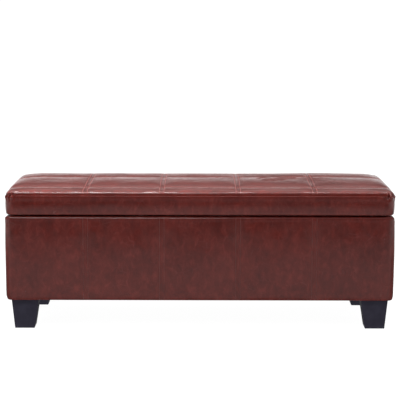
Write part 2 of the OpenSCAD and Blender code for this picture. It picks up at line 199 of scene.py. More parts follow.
def value_noise(points, size, seed):
    """Smooth noise from -1 to 1 at 3-D points, with features about size metres across."""
    rng = np.random.default_rng(seed)
    table = rng.uniform(-1, 1, HASH_TABLE)
    p = points / size
    cell = np.floor(p).astype(np.int64)
    f = p - cell
    f = f * f * (3 - 2 * f)
    total = np.zeros(len(points))
    for dx in (0, 1):
        for dy in (0, 1):
            for dz in (0, 1):
                corner = (cell + (dx, dy, dz)) * HASH_PRIMES
                key = corner[:, 0] ^ corner[:, 1] ^ corner[:, 2]
                weight = (
                    np.where(dx, f[:, 0], 1 - f[:, 0])
                    * np.where(dy, f[:, 1], 1 - f[:, 1])
                    * np.where(dz, f[:, 2], 1 - f[:, 2])
                )
                total += weight * table[key % HASH_TABLE]
    return total


# ---------------------------------------------------------------- materials

def srgb(r, g, b):
    """Linear colour with alpha from 0-255 display values."""
    def linear(c):
        c /= 255
        return c / 12.92 if c <= 0.04045 else ((c + 0.055) / 1.055) ** 2.4
    return (linear(r), linear(g), linear(b), 1.0)


def fill_ramp(ramp, stops):
    """Gives a colour ramp its (position, colour) stops."""
    while len(ramp.elements) < len(stops):
        ramp.elements.new(0.5)
    for element, (position, colour) in zip(ramp.elements, stops):
        element.position = position
        element.color = colour


class Nodes:
    """A material's node tree with the few calls that the recipes below use."""

    def __init__(self, name):
        self.material = bpy.data.materials.new(name)
        self.material.use_nodes = True
        self.tree = self.material.node_tree
        self.shader = self.tree.nodes["Principled BSDF"]
        self.place = self.tree.nodes.new("ShaderNodeTexCoord").outputs["Object"]

    def add(self, kind, **inputs):
        made = self.tree.nodes.new(kind)
        for key, value in inputs.items():
            socket = made.inputs[key.replace("_", " ")]
            if isinstance(value, bpy.types.NodeSocket):
                self.tree.links.new(value, socket)
            else:
                socket.default_value = value
        return made

    def stretched(self, x, y, z):
        return self.add("ShaderNodeMapping", Vector=self.place, Scale=(x, y, z)).outputs["Vector"]

    def noise(self, scale, detail=4.0, roughness=0.55, vector=None, distortion=0.0):
        made = self.add("ShaderNodeTexNoise", Vector=vector or self.place, Scale=scale,
                        Detail=detail, Roughness=roughness, Distortion=distortion)
        return made.outputs["Fac"]

    def cells(self, scale, vector=None, feature="DISTANCE_TO_EDGE"):
        made = self.add("ShaderNodeTexVoronoi", Vector=vector or self.place, Scale=scale)
        made.feature = feature
        return made.outputs["Distance"]

    def ramp(self, factor, *stops):
        made = self.tree.nodes.new("ShaderNodeValToRGB")
        self.tree.links.new(factor, made.inputs["Fac"])
        fill_ramp(made.color_ramp, stops)
        return made.outputs["Color"]

    def span(self, factor, low, high, start=0.3, end=0.7):
        """Maps a factor between start and end to a value between low and high."""
        made = self.add("ShaderNodeMapRange", Value=factor)
        made.inputs["From Min"].default_value = start
        made.inputs["From Max"].default_value = end
        made.inputs["To Min"].default_value = low
        made.inputs["To Max"].default_value = high
        return made.outputs["Result"]

    def mix(self, factor, a, b):
        made = self.tree.nodes.new("ShaderNodeMix")
        made.data_type = "RGBA"
        colours = [s for s in made.inputs if s.type == "RGBA"]
        for socket, value in zip([made.inputs["Factor"]] + colours, (factor, a, b)):
            if isinstance(value, bpy.types.NodeSocket):
                self.tree.links.new(value, socket)
            else:
                socket.default_value = value
        return next(s for s in made.outputs if s.type == "RGBA")

    def bump(self, height, distance, strength=1.0, under=None):
        made = self.add("ShaderNodeBump", Height=height, Distance=distance, Strength=strength)
        if under is not None:
            self.tree.links.new(under, made.inputs["Normal"])
        return made.outputs["Normal"]

    def finish(self, colour, roughness, normal=None, **fixed):
        """Joins the results to the shader. The fixed values are set on its own sockets."""
        for name, value in (("Base Color", colour), ("Roughness", roughness), ("Normal", normal)):
            if isinstance(value, bpy.types.NodeSocket):
                self.tree.links.new(value, self.shader.inputs[name])
            elif value is not None:
                self.shader.inputs[name].default_value = value
        for key, value in fixed.items():
            self.shader.inputs[key.replace("_", " ")].default_value = value
        return self.material


BLACK = (0, 0, 0, 1)
WHITE = (1, 1, 1, 1)


def leatherette():
    """Glossy oxblood leatherette: mottled colour, a few pale crazed lines, soft grain and pores."""
    n = Nodes("leatherette")
    cloudy = n.noise(10.0, 8.0, 0.68, distortion=0.3)
    streaks = n.noise(44.0, 6.0, 0.72, n.stretched(1.0, 1.0, 0.6), distortion=0.5)
    base = n.ramp(cloudy, (0.32, srgb(65, 17, 12)), (0.50, srgb(83, 24, 18)), (0.70, srgb(101, 34, 28)))
    worn = n.ramp(streaks, (0.30, srgb(58, 14, 10)), (0.52, srgb(84, 24, 18)), (0.78, srgb(118, 43, 37)))
    colour = n.mix(0.55, base, worn)
    crazing = n.ramp(n.cells(34.0, n.stretched(1.0, 1.0, 1.3)), (0.0, WHITE), (0.03, BLACK))
    broken = n.mix(n.span(n.noise(18.0, 3.0), 0.0, 1.0, 0.5, 0.62), BLACK, crazing)
    colour = n.mix(n.mix(0.22, BLACK, broken), colour, srgb(118, 62, 60))
    grain = n.cells(760.0)
    pores = n.noise(1500.0, 2.0)
    ripple = n.noise(55.0, 5.0, 0.6, distortion=0.6)
    swell = n.noise(11.0, 3.0, 0.5)
    normal = n.bump(swell, 0.0018, 0.4)
    normal = n.bump(ripple, 0.0004, 0.25, normal)
    normal = n.bump(broken, 0.0002, 0.3, normal)
    normal = n.bump(grain, 0.00012, 0.22, normal)
    normal = n.bump(pores, 0.00004, 0.4, normal)
    rough = n.span(n.noise(16.0, 8.0, 0.72, distortion=0.5), 0.14, 0.28)
    return n.finish(colour, rough, normal, Specular_IOR_Level=0.45)


def thread(name, dark, light):
    """Twisted sewing thread with a little sheen."""
    n = Nodes(name)
    twist = n.noise(900.0, 2.0, vector=n.stretched(1.0, 1.0, 2.5))
    colour = n.ramp(twist, (0.35, dark), (0.65, light))
    return n.finish(colour, n.span(twist, 0.42, 0.6), n.bump(twist, 0.0003, 0.6), Sheen_Weight=0.2)


def black_leg():
    """Satin black paint over a faint upright grain."""
    n = Nodes("black_leg")
    grain = n.noise(60.0, 6.0, 0.6, n.stretched(6.0, 6.0, 0.7))
    smudge = n.noise(24.0, 4.0)
    colour = n.ramp(smudge, (0.3, srgb(40, 38, 49)), (0.7, srgb(50, 48, 60)))
    normal = n.bump(grain, 0.00025, 0.35)
    return n.finish(colour, n.span(grain, 0.48, 0.62), normal, Specular_IOR_Level=0.07)


def wood(name, light, dark, along):
    """Pale timber whose grain runs along the x or the y axis."""
    n = Nodes(name)
    scale = [14.0, 14.0, 14.0]
    scale["xyz".index(along)] = 1.1
    grain = n.noise(9.0, 8.0, 0.62, n.stretched(*scale), distortion=1.4)
    pores = n.noise(160.0, 3.0, 0.6, n.stretched(*[s / 6 for s in scale]))
    bands = n.ramp(grain, (0.32, dark), (0.66, light))
    flecks = n.ramp(pores, (0.4, dark), (0.6, light))
    colour = n.mix(0.25, bands, flecks)
    rough = n.span(pores, 0.55, 0.8)
    return n.finish(colour, rough, n.bump(pores, 0.0004, 0.5), Specular_IOR_Level=0.35)


def foam():
    """Open-celled cream foam."""
    n = Nodes("foam")
    cells = n.cells(420.0, feature="F1")
    colour = n.ramp(n.noise(30.0), (0.3, srgb(214, 196, 142)), (0.7, srgb(236, 222, 178)))
    return n.finish(colour, n.span(cells, 0.85, 1.0, 0.0, 1.0), n.bump(cells, 0.0009, 0.7))


def non_woven(name, dark, light):
    """Matt pressed fibres with the small dots of spot-bonded cloth."""
    n = Nodes(name)
    fibres = n.noise(420.0, 6.0, 0.72, distortion=2.2)
    dots = n.cells(330.0, feature="F1")
    colour = n.ramp(fibres, (0.35, dark), (0.7, light))
    normal = n.bump(dots, 0.0004, 0.6, n.bump(fibres, 0.0003, 0.7))
    return n.finish(colour, n.span(fibres, 0.75, 0.95), normal, Sheen_Weight=0.15)


def zinc_steel():
    """Zinc-plated steel with fine brush lines along x."""
    n = Nodes("zinc_steel")
    brush = n.noise(240.0, 4.0, 0.6, n.stretched(0.25, 6.0, 6.0))
    colour = n.ramp(n.noise(70.0), (0.3, srgb(168, 168, 172)), (0.7, srgb(205, 206, 208)))
    return n.finish(colour, n.span(brush, 0.24, 0.42), n.bump(brush, 0.00005, 0.5), Metallic=1.0)


def black_steel():
    """Powder-coated steel with a fine orange peel."""
    n = Nodes("black_steel")
    peel = n.noise(500.0, 3.0)
    colour = n.ramp(n.noise(90.0, 5.0), (0.3, srgb(22, 22, 24)), (0.75, srgb(36, 36, 39)))
    return n.finish(colour, n.span(peel, 0.32, 0.5), n.bump(peel, 0.00008, 0.5))


def bumper_rubber():
    """Dull, slightly dusty black rubber."""
    n = Nodes("bumper_rubber")
    dust = n.noise(300.0, 4.0)
    colour = n.ramp(dust, (0.3, srgb(20, 20, 21)), (0.75, srgb(38, 38, 40)))
    return n.finish(colour, n.span(dust, 0.6, 0.85), n.bump(dust, 0.0001, 0.5))


LEATHER = leatherette()
THREAD = thread("thread", srgb(98, 30, 25), srgb(140, 56, 48))
BOX_THREAD = thread("box_thread", srgb(66, 18, 14), srgb(112, 42, 35))
LEG = black_leg()
FOAM = foam()
LINING = non_woven("lining", srgb(15, 15, 17), srgb(34, 34, 37))
DUST_CLOTH = non_woven("dust_cloth", srgb(12, 12, 13), srgb(28, 28, 30))
ZINC = zinc_steel()
BLACK_STEEL = black_steel()
RUBBER = bumper_rubber()
BIRCH = (srgb(205, 172, 124), srgb(160, 122, 78))
PINE = (srgb(200, 160, 108), srgb(148, 106, 62))
PLYWOOD_X, PLYWOOD_Y = [wood("plywood_along_" + axis, *BIRCH, axis) for axis in "xy"]
TIMBER_X, TIMBER_Y = [wood("timber_along_" + axis, *PINE, axis) for axis in "xy"]

CAD_LOOKS = {
    "front_panel": PLYWOOD_X, "rear_panel": PLYWOOD_X, "left_end_panel": PLYWOOD_Y,
    "right_end_panel": PLYWOOD_Y, "floor_panel": PLYWOOD_X, "base_rails": TIMBER_X,
    "base_cross_rails": TIMBER_Y, "leg_mount_blocks": TIMBER_X, "panel_screws": ZINC,
    "front_foam": FOAM, "rear_foam": FOAM, "left_end_foam": FOAM, "right_end_foam": FOAM,
    "well_lining": LINING, "floor_lining": LINING, "dust_cover": DUST_CLOTH,
    "dust_cover_staples": ZINC, "leg_tee_nuts": ZINC, "leg_bolts": ZINC, "rim_bumpers": RUBBER,
    "hinge_box_leaves": ZINC, "hinge_pins": ZINC, "hinge_box_screws": ZINC,
    "left_stay_peg": BLACK_STEEL, "right_stay_peg": BLACK_STEEL, "stay_peg_screws": ZINC,
    "lid_board": PLYWOOD_X, "lid_lining": LINING, "hinge_lid_leaves": ZINC, "hinge_lid_screws": ZINC,
    "left_lid_bracket": BLACK_STEEL, "right_lid_bracket": BLACK_STEEL, "lid_bracket_screws": ZINC,
    "left_stay_rivet": ZINC, "right_stay_rivet": ZINC,
    "left_stay_arm": BLACK_STEEL, "right_stay_arm": BLACK_STEEL,
}
for name, material in CAD_LOOKS.items():
    nodes[name].data.materials.clear()
    nodes[name].data.materials.append(material)


# ---------------------------------------------------------------- seams, gathers and creases

def nearest_seam(values, seams):
    """Signed distance from the nearest seam."""
    away = np.array([values - s for s in seams])
    pick = np.abs(away).argmin(0)
    return away[pick, np.arange(len(values))]


def seam_relief(distance, along, seed, groove=1.0, gather=0.32 * MM):
    """Height over a top-stitched seam: a groove, a stitch row each side of it and small puckers."""
    across = np.abs(distance)
    line = np.column_stack([along, distance * 0.35, np.zeros(len(along))])
    pucker = value_noise(line, 9 * MM, seed) + 0.6 * value_noise(line, 4.5 * MM, seed + 1)
    relief = -0.8 * MM * groove * bell(distance, 1.8 * MM)
    relief -= 0.65 * MM * groove * bell(across - STITCH_ROW, 1.8 * MM)
    relief += gather * pucker * bell(across - STITCH_ROW, 7 * MM)
    return relief


def corner_turn(points, half_l, half_d, corner):
    """Angle round the nearest corner (0 on the long side, 90 on the end) and how far out it lies."""
    dx = np.abs(points[:, 0]) - (half_l - corner)
    dy = np.abs(points[:, 1]) - (half_d - corner)
    return np.degrees(np.arctan2(dx, dy)), np.minimum(dx, dy)


def corner_gathers(points, half_l, half_d, corner, level, reach, depth, seed):
    """Short pleats that fan round a corner where flat material is drawn in."""
    angle, inside = corner_turn(points, half_l, half_d, corner)
    near = bell(np.clip(-inside, 0, None), 9 * MM) * bell(level, reach)
    side = np.sign(points[:, 0]) * 3 + np.sign(points[:, 1]) * 7
    line = np.column_stack([angle / 9.0, side, points[:, 2] / (9 * MM)])
    return depth * near * (value_noise(line, 1.0, seed) - 0.2)


# ---------------------------------------------------------------- lid cushion

# A roll is an edge's inset and a rise its height. HEM is the width folded under the lid.
LID_CORNER = 25 * MM
LID_LOWER_ROLL = 4.5 * MM
LID_LOWER_RISE = 6.5 * MM
LID_TOP_ROLL = 15 * MM
LID_TOP_RISE = 10 * MM
BOXING_Z = lid_high.z - 9.5 * MM
HEM = 45 * MM

# The top droops over this length to this depth at each end: (front, rear).
END_REACH = (45 * MM, 82 * MM)
END_DROOP = (6 * MM, 15 * MM)

# The top is crowned from front to rear, highest at CROWN_Y, and tilts down behind its rear row seam.
CROWN = 3.4 * MM
CROWN_Y = -45 * MM
REAR_TILT = 1.5 * MM

# The rear half of the top is a little fuller round this x.
FULL_X = 0.40
FULL_RISE = 2.6 * MM

# How far the lid's upright sides bulge.
LID_BELLY = 2.6 * MM

# The panels are blown up over this many frames, from leather that is larger than its panel by the
# share PANEL_SPARE. No point moves further than MOST_RISE.
PANEL_FRAMES = 14
PANEL_PRESSURE = 0.6
PANEL_SPARE = 0.0015
MOST_RISE = 5 * MM

# How firmly a point is held: the underside and lower edge, the top's seams, and the boxing seam.
HELD, SEWN, EDGED = 1.0, 0.98, 0.9

# Depth factor and width of the valleys along the row seams, before blowing up: (front, rear).
ROW_SLACK = (2.2, 0.5)
ROW_SPREAD = (30 * MM, 18 * MM)


def end_droop(points):
    """How far the top falls away towards the ends, more softly at the rear corners."""
    back = smooth((points[:, 1] + HALF_D) / (2 * HALF_D))
    reach = END_REACH[0] + (END_REACH[1] - END_REACH[0]) * back
    depth = END_DROOP[0] + (END_DROOP[1] - END_DROOP[0]) * back
    t = np.clip((np.abs(points[:, 0]) - (HALF_L - reach)) / reach, 0, 1)
    return depth * (1 - np.sqrt(1 - 0.985 * t * t))


def fall(points):
    """How far the flat top is lowered at each point: the droop at the ends, less the crown."""
    crown = CROWN * (1 - ((points[:, 1] - CROWN_Y) / HALF_D) ** 2) - 1.0 * MM
    full = FULL_RISE * bell(points[:, 0] - FULL_X, 130 * MM) * smooth((points[:, 1] + 0.05) / 0.2)
    tilt = REAR_TILT * smooth((points[:, 1] - ROW_SEAMS[1]) / (HALF_D - ROW_SEAMS[1]) * 0.5)
    return end_droop(points) - crown - full + tilt


def droop_points(points):
    """Lowers the top by its fall, less and less down the sides."""
    z0 = lid_low.z + 15 * MM
    share = smooth((points[:, 2] - z0) / (BOXING_Z - z0))
    points[:, 2] -= share * fall(points)
    return points


def lid_mesh(step):
    """Closed skin of the lid: hem and underside, lower roll, boxing strip, top roll and top grid."""
    xs = graded(-HALF_L + LID_CORNER, HALF_L - LID_CORNER, step, COLUMN_SEAMS)
    ys = graded(-HALF_D + LID_CORNER, HALF_D - LID_CORNER, step, ROW_SEAMS)
    columns = perimeter(xs, ys, 16)
    profile = [(HEM, lid_low.z), (HEM * 0.6, lid_low.z)]
    side_low = lid_low.z + LID_LOWER_RISE
    profile += [(LID_LOWER_ROLL - dx, z) for dx, z in
                quarter((0, side_low), LID_LOWER_ROLL, LID_LOWER_RISE, -90, 4)]
    side_high = lid_high.z - LID_TOP_RISE
    steps = 6
    profile += [(0.0, side_low + (side_high - side_low) * k / steps) for k in range(1, steps)]
    profile += [(LID_TOP_ROLL - dx, z) for dx, z in
                quarter((0, side_high), LID_TOP_ROLL, LID_TOP_RISE, 0, 8)]
    profile += [(LID_CORNER, lid_high.z)]
    rings = [ring(columns, LID_CORNER, inset, z) for inset, z in profile]
    count = len(columns)
    points = list(np.vstack(rings))
    faces = []
    for r in range(len(rings) - 1):
        for c in range(count):
            d = (c + 1) % count
            faces.append((r * count + c, r * count + d, (r + 1) * count + d, (r + 1) * count + c))
    start, nx = len(points), len(xs)
    points += [np.array((x, y, lid_high.z)) for y in ys for x in xs]
    for j in range(len(ys) - 1):
        for i in range(nx - 1):
            a = start + j * nx + i
            faces.append((a, a + 1, a + nx + 1, a + nx))
    return np.array(points), faces


def simulate_panels(piece, pins):
    """Blows the cushion up between its seams with Blender's cloth, then applies the result."""
    group = piece.vertex_groups.new(name="pins")
    for weight in np.unique(pins):
        if weight > 0:
            group.add([int(i) for i in np.flatnonzero(pins == weight)], float(weight), "REPLACE")
    cloth = piece.modifiers.new("cloth", "CLOTH")
    settings = cloth.settings
    settings.vertex_group_mass = "pins"
    settings.quality = 4
    settings.mass = 0.1
    settings.tension_stiffness = 12
    settings.compression_stiffness = 12
    settings.shear_stiffness = 4
    settings.bending_stiffness = 0.6
    settings.shrink_min = -PANEL_SPARE
    settings.use_pressure = True
    settings.uniform_pressure_force = PANEL_PRESSURE
    settings.effector_weights.gravity = 0
    cloth.collision_settings.use_collision = False
    cloth.collision_settings.use_self_collision = False
    cloth.point_cache.frame_start = 1
    cloth.point_cache.frame_end = PANEL_FRAMES
    scene = bpy.context.scene
    scene.frame_start, scene.frame_end = 1, PANEL_FRAMES
    for k in range(1, PANEL_FRAMES + 1):
        scene.frame_set(k)
    apply_modifiers(piece)
    scene.frame_set(1)


def close_underside(piece):
    """One flat face over the open edge of the hem, behind the lining."""
    bm = bmesh.new()
    bm.from_mesh(piece.data)
    edges = [e for e in bm.edges if e.is_boundary]
    bmesh.ops.contextual_create(bm, geom=edges)
    bmesh.ops.recalc_face_normals(bm, faces=bm.faces)
    bm.to_mesh(piece.data)
    bm.free()


def subdivide(piece):
    """One applied subdivision."""
    modifier = piece.modifiers.new("subdivision", "SUBSURF")
    modifier.levels = modifier.render_levels = 1
    modifier.boundary_smooth = "PRESERVE_CORNERS"
    apply_modifiers(piece)


CREASE_DEPTH = 2.4
CREASES = [
    # from (x, y), to (x, y), share of the depth
    ((0.205, -0.006), (0.262, 0.052), 1.0),
    ((0.216, -0.018), (0.318, 0.096), 1.3),
    ((0.238, -0.022), (0.340, 0.088), 0.9),
    ((0.262, -0.012), (0.352, 0.060), 0.7),
    ((0.196, 0.030), (0.236, 0.086), 0.6),
]


def crease_relief(points, above):
    """Slack diagonal creases on one panel of the top, each with a soft ridge beside it."""
    relief = np.zeros(len(points))
    for (x0, y0), (x1, y1), depth in CREASES:
        length = math.hypot(x1 - x0, y1 - y0)
        ux, uy = (x1 - x0) / length, (y1 - y0) / length
        dx, dy = points[:, 0] - x0, points[:, 1] - y0
        along = (dx * ux + dy * uy) / length
        across = dy * ux - dx * uy - 6 * MM * np.sin(along * math.pi) + 2 * MM * np.sin(along * 9)
        fade = smooth(along / 0.25) * smooth((1 - along) / 0.25)
        relief += depth * MM * fade * (0.6 * bell(across - 7 * MM, 6 * MM) - bell(across, 5 * MM))
    return relief * above


def cushion():
    """The padded lid: its closed skin, blown up between the seams, then sewn and creased."""
    points, faces = lid_mesh(9 * MM)
    piece = new_piece("lid_cushion", points, faces, LEATHER)
    tidy_mesh(piece)
    points = coords(piece)
    level = points[:, 2].copy()
    column = nearest_seam(points[:, 0], COLUMN_SEAMS)
    row = nearest_seam(points[:, 1], ROW_SEAMS)
    at_top = smooth((level - BOXING_Z) / (8 * MM))
    slack = np.where(points[:, 1] < 0, *ROW_SLACK)
    spread = np.where(points[:, 1] < 0, *ROW_SPREAD)
    valley = np.maximum(0.4 * bell(column, 15 * MM), slack * bell(row, spread))
    points[:, 2] -= at_top * valley * 0.9 * MM
    points = droop_points(points)
    set_coords(piece, points)
    rest = points.copy()
    seam = (np.minimum(np.abs(column), np.abs(row)) < 0.9 * MM) & (level > BOXING_Z + 1 * MM)
    held = level < lid_low.z + 11 * MM
    edge = np.abs(level - BOXING_Z) < 2 * MM
    pins = np.where(held, HELD, np.where(seam, SEWN, np.where(edge, EDGED, 0.0)))
    simulate_panels(piece, pins)
    moved = coords(piece) - rest
    size = np.linalg.norm(moved, axis=1)
    flat = smooth((level - lid_high.z + 5 * MM) / (5 * MM))
    moved *= (flat * (0.3 + 0.7 * smooth((0.12 - rest[:, 1]) / 0.2)))[:, None]
    capped = np.minimum(size, MOST_RISE) / np.maximum(size, 1e-9)
    set_coords(piece, rest + moved * capped[:, None])
    subdivide(piece)
    finish_cushion(piece)
    close_underside(piece)
    return piece


def finish_cushion(piece):
    """Seams, gathers, creases and a little unevenness, pressed into the blown-up cushion."""
    points, out = coords(piece), normals(piece)
    level = points[:, 2] + fall(points)
    at_top = smooth((level - BOXING_Z - 2 * MM) / (5 * MM))
    off_base = smooth((level - lid_low.z - 6 * MM) / (10 * MM))
    relief = at_top * seam_relief(nearest_seam(points[:, 0], COLUMN_SEAMS), points[:, 1], 11, 1.4)
    relief += at_top * seam_relief(nearest_seam(points[:, 1], ROW_SEAMS), points[:, 0], 23, 0.5)
    upright = np.clip(1 - np.abs(out[:, 2]), 0, 1)
    around = points[:, 0] + points[:, 1]
    boxing = seam_relief((level - BOXING_Z) / np.maximum(upright, 0.35), around, 37, 0.8, 0.12 * MM)
    relief += boxing * bell(level - BOXING_Z, 16 * MM) * smooth(upright / 0.5)
    middle = lid_low.z + 38 * MM
    half = np.where(points[:, 2] > middle, BOXING_Z - middle, 40 * MM)
    belly = np.clip(1 - ((points[:, 2] - middle) / half) ** 2, 0, 1)
    relief += LID_BELLY * belly * smooth(upright / 0.5)
    relief += corner_gathers(points, HALF_L, HALF_D, LID_CORNER, level - BOXING_Z + 6 * MM, 9 * MM,
                             7.5 * MM, 41)
    relief += CREASE_DEPTH * crease_relief(points, at_top)
    relief += off_base * 0.40 * MM * value_noise(points, 75 * MM, 53)
    relief += off_base * at_top * 0.08 * MM * value_noise(points, 20 * MM, 59)
    set_coords(piece, points + out * relief[:, None])


# ---------------------------------------------------------------- box cover

# As on the lid, a roll is an edge's inset, a rise or drop its height and the hem a folded width.
BOX_L, BOX_D = box_high.x, box_high.y
BOX_TOP, BOX_BOTTOM = box_high.z, box_low.z - 0.9 * MM
BOX_CORNER = 18 * MM
RIM_ROLL = 15 * MM
RIM_DROP = 9.5 * MM
UNDER_ROLL = 4.5 * MM
UNDER_RISE = 4 * MM
SHEET = 1.4 * MM
BOX_HEM = 30 * MM
WELL_FACE = BOX_L - (well_high.x + 0.2 * MM)
FOLD_Z = well_high.z

# Bulge of the panels in mm: (rear, front). Bulge of the ends: all over, and more at half height.
PANEL_FILL = (1.2, 2.6)
END_FILL = (2.6 * MM, 1.6 * MM)

# The rim stands this much higher near the corners, to clear the foam under it.
RIM_LIFT = 0.7 * MM


def box_profile():
    """The cover's section as (inset, z): up the well face, over the rim, down and under the edge."""
    half = SHEET / 2
    inner = WELL_FACE + half + 0.1 * MM
    tight = 2.5 * MM
    profile = [(inner, z) for z in np.linspace(FOLD_Z, BOX_TOP - tight - half, 6)]
    profile += [(inner - tight + dx, z) for dx, z in
                quarter((0, BOX_TOP - tight - half), tight, tight, 0, 3)[1:]]
    profile += [(inner - tight - (inner - tight - RIM_ROLL) * k / 3, BOX_TOP - half) for k in (1, 2)]
    profile += [(RIM_ROLL - dx, z) for dx, z in
                reversed(quarter((0, BOX_TOP - RIM_DROP), RIM_ROLL - half, RIM_DROP - half, 0, 8))]
    steps = 24
    top, bottom = BOX_TOP - RIM_DROP, BOX_BOTTOM + UNDER_RISE
    profile += [(half, top + (bottom - top) * k / steps) for k in range(1, steps)]
    profile += [(UNDER_ROLL - dx, z) for dx, z in
                reversed(quarter((0, bottom), UNDER_ROLL - half, UNDER_RISE - half, -90, 5))]
    profile += [(UNDER_ROLL + (BOX_HEM - UNDER_ROLL) * k / 3, BOX_BOTTOM + half) for k in (1, 2, 3)]
    return profile


def box_relief(points):
    """How far the cover stands out: bulging panels between the seams, full ends, lumps, gathers."""
    side = smooth((BOX_TOP - 3 * MM - points[:, 2]) / (14 * MM))
    side = side * smooth((points[:, 2] - BOX_BOTTOM - 2 * MM) / (12 * MM))
    outer = (np.abs(points[:, 0]) > BOX_L - 12 * MM) | (np.abs(points[:, 1]) > BOX_D - 12 * MM)
    side = side * outer
    face = smooth((np.abs(points[:, 1]) - BOX_D + BOX_CORNER) / (BOX_CORNER * 0.8))
    seam = nearest_seam(points[:, 0], COLUMN_SEAMS)
    height = (points[:, 2] - BOX_BOTTOM) / (BOX_TOP - BOX_BOTTOM)
    belly = np.clip(4 * height * (1 - height), 0, 1)
    fill = np.where(points[:, 1] > 0, *PANEL_FILL) * MM
    puff = 1 - np.exp(-(seam / (30 * MM)) ** 2)
    end = np.clip((BOX_L - np.abs(points[:, 0])) / (40 * MM), 0, 1)
    sewn = seam_relief(seam, points[:, 2], 67, 1.0, 0.3 * MM)
    relief = side * face * (fill * belly * puff * smooth(end) + sewn)
    relief += side * (1 - face) * (END_FILL[0] + END_FILL[1] * belly)
    lump = 0.4 * MM * value_noise(points, 70 * MM, 71) + 0.15 * MM * value_noise(points, 21 * MM, 73)
    calm = smooth((BOX_TOP - 14 * MM - points[:, 2]) / (60 * MM))
    relief += side * calm * np.clip(lump + 0.2 * MM, 0, None)
    gathers = corner_gathers(points, BOX_L, BOX_D, BOX_CORNER, points[:, 2] - BOX_TOP + 12 * MM, 14 * MM,
                             2.6 * MM, 79)
    inside = corner_turn(points, BOX_L, BOX_D, BOX_CORNER)[1]
    lift = RIM_LIFT * bell(np.clip(-inside, 0, None), 30 * MM)
    lift *= smooth((points[:, 2] - BOX_TOP + 30 * MM) / (12 * MM))
    relief += outer * (lift + np.clip(gathers, 0, None))
    return relief


def box_cover():
    """One sheet from inside the well, over the rim, down the outside and under the bottom edge."""
    xs = graded(-BOX_L + BOX_CORNER, BOX_L - BOX_CORNER, 10 * MM, COLUMN_SEAMS)
    ys = graded(-BOX_D + BOX_CORNER, BOX_D - BOX_CORNER, 10 * MM)
    columns = perimeter(xs, ys, 20)
    rings = [ring(columns, BOX_CORNER, inset, z) for inset, z in box_profile()]
    count = len(columns)
    faces = []
    for r in range(len(rings) - 1):
        for c in range(count):
            d = (c + 1) % count
            faces.append((r * count + c, (r + 1) * count + c, (r + 1) * count + d, r * count + d))
    piece = new_piece("box_cover", np.vstack(rings), faces, LEATHER)
    tidy_mesh(piece, 0.005 * MM)
    points, out = coords(piece), normals(piece)
    if (out * np.sign(points))[np.abs(points[:, 2] - 0.25) < 0.05].sum() < 0:
        piece.data.flip_normals()
        out = -out
    set_coords(piece, points + out * box_relief(points)[:, None])
    solid = piece.modifiers.new("thickness", "SOLIDIFY")
    solid.thickness = SHEET
    solid.offset = 0
    apply_modifiers(piece)
    smooth_shaded(piece.data)
    return piece


# ---------------------------------------------------------------- stitching

STITCH_PITCH = 6.6 * MM
STITCH_LENGTH = 5.2 * MM
THREAD_RADIUS = 0.6 * MM
THREAD_SIDES = 6
RAY_START = 0.03

# Sections of one stitch: place along its half length, width and lift in thread radii.
STITCH_STATIONS = [
    (-1.0, 0.35, -0.45),
    (-0.72, 0.85, 0.05),
    (0.0, 1.0, 0.38),
    (0.72, 0.85, 0.05),
    (1.0, 0.35, -0.45),
]

# Heights of the two stitch rows that run round the lid, from the boxing seam.
BOXING_ROWS = (-6.5 * MM, 5.0 * MM)


class Surface:
    """Ray casts on a finished piece."""

    def __init__(self, piece):
        self.tree = BVHTree.FromPolygons(
            [v.co.copy() for v in piece.data.vertices], [tuple(p.vertices) for p in piece.data.polygons])

    def path(self, rays):
        """Place and outward normal where each ray meets the piece."""
        found = []
        for origin, direction in rays:
            hit, normal, _, _ = self.tree.ray_cast(Vector(origin), Vector(direction).normalized(), 0.2)
            if hit is not None:
                if normal.dot(Vector(direction)) > 0:
                    normal = -normal
                found.append((hit, normal))
        return found


def stitches_along(path, rng):
    """Centre, direction, normal of each stitch, a pitch apart along a path of hits."""
    points = np.array([tuple(h) for h, _ in path])
    facing = np.array([tuple(n) for _, n in path])
    steps = np.linalg.norm(np.diff(points, axis=0), axis=1)
    run = np.concatenate([[0], np.cumsum(steps)])
    places = np.arange(STITCH_PITCH / 2, run[-1] - STITCH_PITCH / 2, STITCH_PITCH)
    places = places + rng.uniform(-0.25, 0.25, len(places)) * MM
    half = STITCH_LENGTH / 2

    def at(s):
        return np.column_stack([np.interp(s, run, points[:, k]) for k in range(3)])

    normal = np.column_stack([np.interp(places, run, facing[:, k]) for k in range(3)])
    normal /= np.linalg.norm(normal, axis=1)[:, None]
    return at(places), at(places + half) - at(places - half), normal


